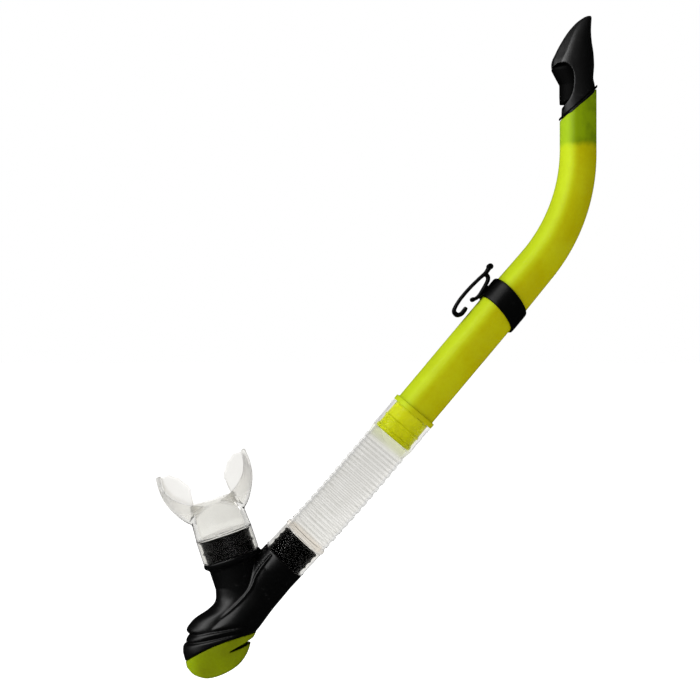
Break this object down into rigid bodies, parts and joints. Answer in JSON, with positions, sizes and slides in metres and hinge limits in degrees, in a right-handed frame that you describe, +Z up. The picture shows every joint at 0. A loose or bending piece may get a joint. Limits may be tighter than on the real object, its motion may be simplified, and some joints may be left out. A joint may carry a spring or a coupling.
{
  "type": "snorkel tube",
  "caption": "Bent snorkel barrel with a hooded splash guard, strap keeper, ribbed flexible hose, purge chamber with valve, and a swivelling bite mouthpiece.",
  "frame": {"origin": "on the barrel's axis, in the middle of the stretch that the strap keeper grips", "axes": "+Z up as worn, along the upright top of the barrel; +X from the mouthpiece side towards the top; the object is symmetric about y = 0"},
  "size_m": [0.2513, 0.0404, 0.3772],
  "materials": {
    "lime_barrel": "tinted translucent plastic, polished",
    "lime_cover": "tinted translucent plastic, polished",
    "black_shell": "moulded plastic, semi-gloss",
    "black_clip": "moulded plastic, satin",
    "clear_silicone": "clear silicone, slightly frosted"
  },
  "bodies": {
    "barrel": {"barrel_tube": "lime_barrel", "splash_guard_hood": "black_shell", "splash_guard_base": "black_shell", "flex_hose": "clear_silicone"},
    "keeper": {"strap_keeper": "black_clip"},
    "housing": {"lower_housing": "black_shell", "purge_valve_seat": "black_clip", "purge_cover": "lime_cover"},
    "valve": {"purge_valve": "clear_silicone"},
    "mouthpiece": {"mouthpiece": "clear_silicone"}
  },
  "joints": [
    {"name": "hose_flex", "type": "hinge", "parent": "barrel", "child": "housing", "pos_m": [-0.08875, 0, -0.10561], "axis": [0, 1, 0], "range_deg": [-30, 35], "stiffness_Nm_per_rad": 0.4, "springref_deg": 9.74, "deforming": ["flex_hose"]},
    {"name": "keeper_slide", "type": "slide", "parent": "barrel", "child": "keeper", "axis": [0.6428, 0, 0.766], "range_m": [-0.06, 0.018]},
    {"name": "mouthpiece_swivel", "type": "hinge", "parent": "housing", "child": "mouthpiece", "pos_m": [-0.1544, 0, -0.1438], "axis": [-0.3156, 0, 0.9489], "range_deg": [-90, 90]},
    {"name": "purge_valve_lift", "type": "slide", "parent": "housing", "child": "valve", "axis": [0.3836, 0, -0.9235], "range_m": [0, 0.002], "stiffness_N_per_m": 100}
  ]
}
